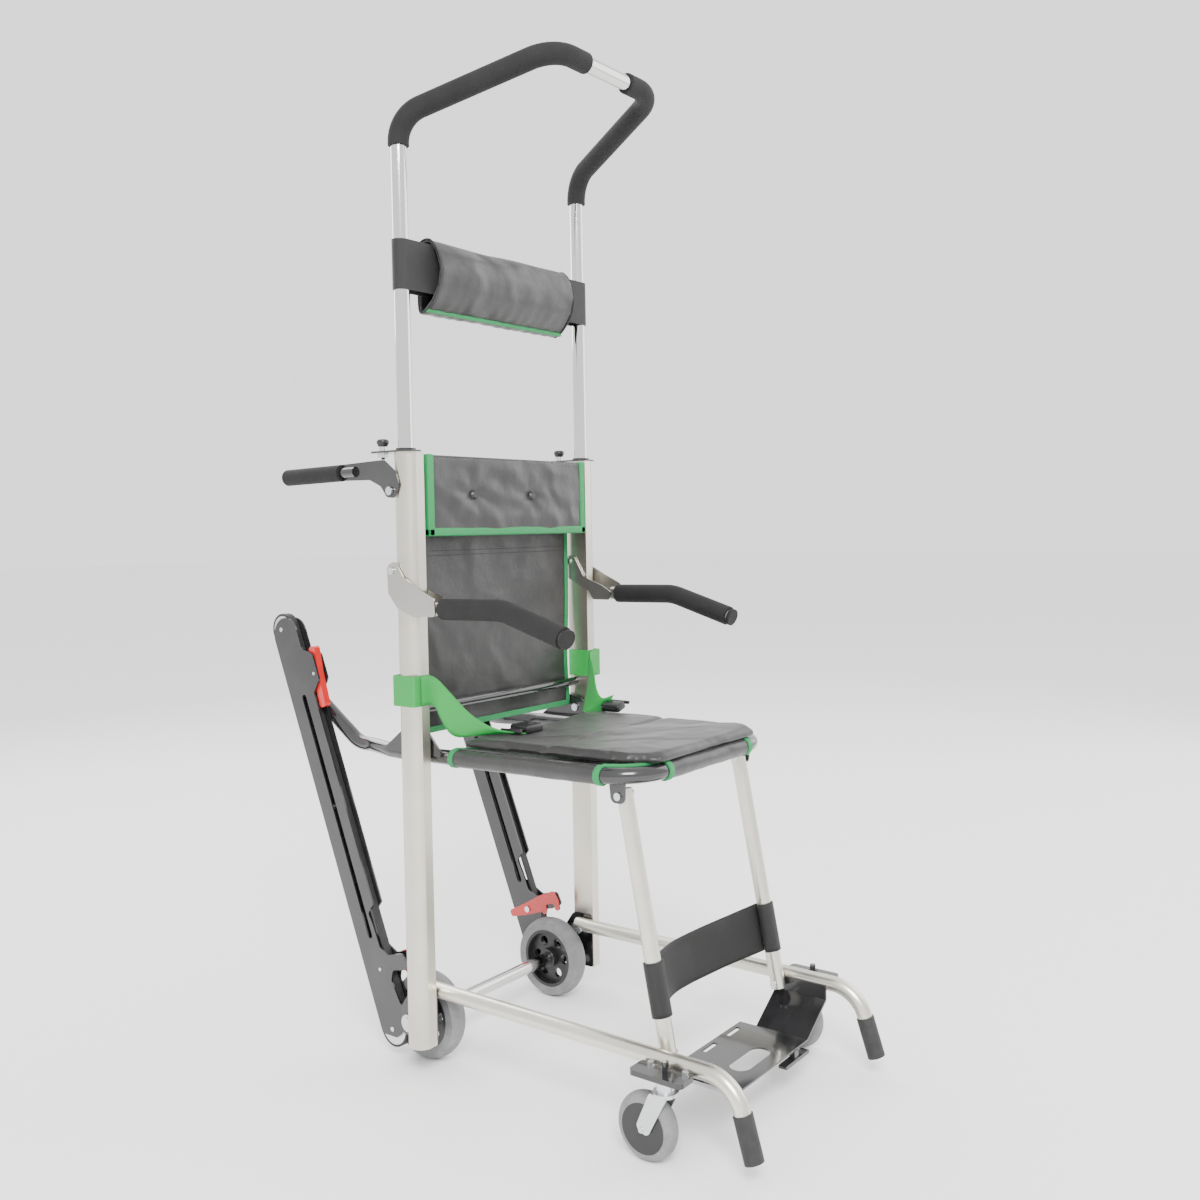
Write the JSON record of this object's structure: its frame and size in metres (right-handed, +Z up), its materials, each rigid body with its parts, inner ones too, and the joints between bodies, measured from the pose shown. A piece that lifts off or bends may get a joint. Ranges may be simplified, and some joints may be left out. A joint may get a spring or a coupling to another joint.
{
  "type": "stair chair",
  "caption": "Folding evacuation chair with sling seat and back, extending push handle, carry handles, armrests, footplate, casters and rear belt tracks for stairs.",
  "frame": {"origin": "on the floor under the centre of the chair's box", "axes": "+Z up; the sitter faces -Y; +X is the sitter's left"},
  "size_m": [0.51, 1.0395, 1.6665],
  "materials": {
    "frame_alloy": "satin anodised",
    "leg_alloy": "satin anodised",
    "black_steel": "gloss powder coat",
    "track_black": "gloss powder coat",
    "polished_steel": "polished",
    "zinc": "bright zinc",
    "silver_paint": "satin powder coat",
    "foam": "matte foam",
    "rubber_black": "matte",
    "black_plastic": "satin",
    "tyre_grey": "matte",
    "vinyl": "slight sheen",
    "strap_black": "woven",
    "belt_green": "woven",
    "red_plastic": "gloss"
  },
  "bodies": {
    "frame": {"upright_left": "frame_alloy", "upright_right": "frame_alloy", "post_bushes": "black_plastic", "top_plates": "black_steel", "plunger_housings": "zinc", "foot_brackets": "black_steel", "rear_axle": "polished_steel", "frame_bolts": "zinc", "back_crossbars": "black_steel", "back_sling": "vinyl", "headrest_cushion": "vinyl", "cushion_buttons": "black_plastic", "belt_loops": "belt_green", "belt_web_left": "belt_green", "belt_web_right": "belt_green"},
    "push_handle": {"push_handle_tube": "polished_steel", "push_grips": "foam"},
    "head_rest": {"head_strap": "strap_black", "head_pad": "vinyl"},
    "seat": {"seat_frame": "black_steel", "seat_sling": "vinyl", "seat_cushion": "vinyl", "buckle_tongue": "black_plastic", "buckle_socket": "black_plastic"},
    "legs": {"legs": "leg_alloy", "leg_bolts": "zinc", "calf_strap": "strap_black"},
    "rails": {"rails": "leg_alloy", "rail_grips": "rubber_black", "caster_plates": "black_steel", "rail_bolts": "zinc", "footplate": "black_steel", "footplate_lever": "black_steel"},
    "tracks": {"track_plates": "track_black", "track_belts": "rubber_black", "track_rollers": "zinc"},
    "carry_handle_left": {"carry_bracket_left": "black_steel", "carry_grip_left": "foam"},
    "release_pin_left": {"plunger_left": "black_plastic"},
    "armrest_left": {"armrest_frame_left": "silver_paint", "armrest_grip_left": "foam"},
    "caster_left": {"caster_fork_left": "zinc"},
    "caster_wheel_left": {"caster_hub_left": "black_plastic", "caster_tyre_left": "tyre_grey"},
    "rear_wheel_left": {"rear_hub_left": "black_plastic", "rear_tyre_left": "tyre_grey"},
    "release_lever_left": {"track_lever_left": "red_plastic"},
    "lock_clip_left": {"track_clip_left": "red_plastic"},
    "carry_handle_right": {"carry_bracket_right": "black_steel", "carry_grip_right": "foam"},
    "release_pin_right": {"plunger_right": "black_plastic"},
    "armrest_right": {"armrest_frame_right": "silver_paint", "armrest_grip_right": "foam"},
    "caster_right": {"caster_fork_right": "zinc"},
    "caster_wheel_right": {"caster_hub_right": "black_plastic", "caster_tyre_right": "tyre_grey"},
    "rear_wheel_right": {"rear_hub_right": "black_plastic", "rear_tyre_right": "tyre_grey"},
    "release_lever_right": {"track_lever_right": "red_plastic"},
    "lock_clip_right": {"track_clip_right": "red_plastic"}
  },
  "joints": [
    {"name": "push_handle_slide", "type": "slide", "parent": "frame", "child": "push_handle", "axis": [0, 0, -1], "range_m": [0, 0.38]},
    {"name": "head_rest_slide", "type": "slide", "parent": "push_handle", "child": "head_rest", "axis": [0, 0, 1], "range_m": [0, 0.1483]},
    {"name": "seat_fold", "type": "hinge", "parent": "frame", "child": "seat", "pos_m": [0, 0.1287, 0.56], "axis": [-1, 0, 0], "range_deg": [0, 80], "deforming": ["belt_web_left", "belt_web_right"]},
    {"name": "rails_fold", "type": "hinge", "parent": "frame", "child": "rails", "pos_m": [0, 0.1137, 0.13], "axis": [-1, 0, 0], "range_deg": [0, 71.1]},
    {"name": "legs_fold", "type": "hinge", "parent": "seat", "child": "legs", "pos_m": [0, -0.2663, 0.508], "axis": [-1, 0, 0], "range_deg": [-85, 0]},
    {"name": "tracks_fold", "type": "hinge", "parent": "frame", "child": "tracks", "pos_m": [0, 0.1667, 0.075], "axis": [1, 0, 0], "range_deg": [0, 19.7]},
    {"name": "carry_handle_left_fold", "type": "hinge", "parent": "frame", "child": "carry_handle_left", "pos_m": [0.24, 0.1402, 0.972], "axis": [-1, 0, 0], "range_deg": [0, 90]},
    {"name": "release_pin_left_pull", "type": "slide", "parent": "frame", "child": "release_pin_left", "axis": [0, 0, 1], "range_m": [0, 0.008], "stiffness_N_per_m": 600, "springref_m": -0.003},
    {"name": "armrest_left_lift", "type": "hinge", "parent": "frame", "child": "armrest_left", "pos_m": [0.226, 0.1422, 0.842], "axis": [-1, 0, 0], "range_deg": [0, 88]},
    {"name": "caster_left_swivel", "type": "hinge", "parent": "rails", "child": "caster_left", "pos_m": [0.218, -0.3753, 0.11], "axis": [0, 0, 1], "continuous": true},
    {"name": "caster_left_roll", "type": "hinge", "parent": "caster_left", "child": "caster_wheel_left", "pos_m": [0.218, -0.3433, 0.05], "axis": [1, 0, 0], "continuous": true},
    {"name": "rear_wheel_left_roll", "type": "hinge", "parent": "frame", "child": "rear_wheel_left", "pos_m": [0.16, 0.1667, 0.075], "axis": [1, 0, 0], "continuous": true},
    {"name": "release_lever_left_turn", "type": "hinge", "parent": "tracks", "child": "release_lever_left", "pos_m": [0.19, 0.4013, 0.6537], "axis": [-1, 0, 0], "range_deg": [0, 18]},
    {"name": "lock_clip_left_turn", "type": "hinge", "parent": "tracks", "child": "lock_clip_left", "pos_m": [0.178, 0.2437, 0.149], "axis": [-1, 0, 0], "range_deg": [0, 35]},
    {"name": "carry_handle_right_fold", "type": "hinge", "parent": "frame", "child": "carry_handle_right", "pos_m": [-0.24, 0.1402, 0.972], "axis": [-1, 0, 0], "range_deg": [0, 90]},
    {"name": "release_pin_right_pull", "type": "slide", "parent": "frame", "child": "release_pin_right", "axis": [0, 0, 1], "range_m": [0, 0.008], "stiffness_N_per_m": 600, "springref_m": -0.003},
    {"name": "armrest_right_lift", "type": "hinge", "parent": "frame", "child": "armrest_right", "pos_m": [-0.226, 0.1422, 0.842], "axis": [-1, 0, 0], "range_deg": [0, 88]},
    {"name": "caster_right_swivel", "type": "hinge", "parent": "rails", "child": "caster_right", "pos_m": [-0.218, -0.3753, 0.11], "axis": [0, 0, 1], "continuous": true},
    {"name": "caster_right_roll", "type": "hinge", "parent": "caster_right", "child": "caster_wheel_right", "pos_m": [-0.218, -0.3433, 0.05], "axis": [1, 0, 0], "continuous": true},
    {"name": "rear_wheel_right_roll", "type": "hinge", "parent": "frame", "child": "rear_wheel_right", "pos_m": [-0.16, 0.1667, 0.075], "axis": [1, 0, 0], "continuous": true},
    {"name": "release_lever_right_turn", "type": "hinge", "parent": "tracks", "child": "release_lever_right", "pos_m": [-0.19, 0.4013, 0.6537], "axis": [-1, 0, 0], "range_deg": [0, 18]},
    {"name": "lock_clip_right_turn", "type": "hinge", "parent": "tracks", "child": "lock_clip_right", "pos_m": [-0.178, 0.2437, 0.149], "axis": [-1, 0, 0], "range_deg": [0, 35]}
  ],
  "couplings": [
    {"joint": "rails_fold", "follows": "seat_fold", "ratio": 0.8881},
    {"joint": "legs_fold", "follows": "seat_fold", "ratio": -1.0616},
    {"joint": "tracks_fold", "follows": "seat_fold", "ratio": 0.246},
    {"joint": "head_rest_slide", "follows": "push_handle_slide", "ratio": 0.39}
  ]
}
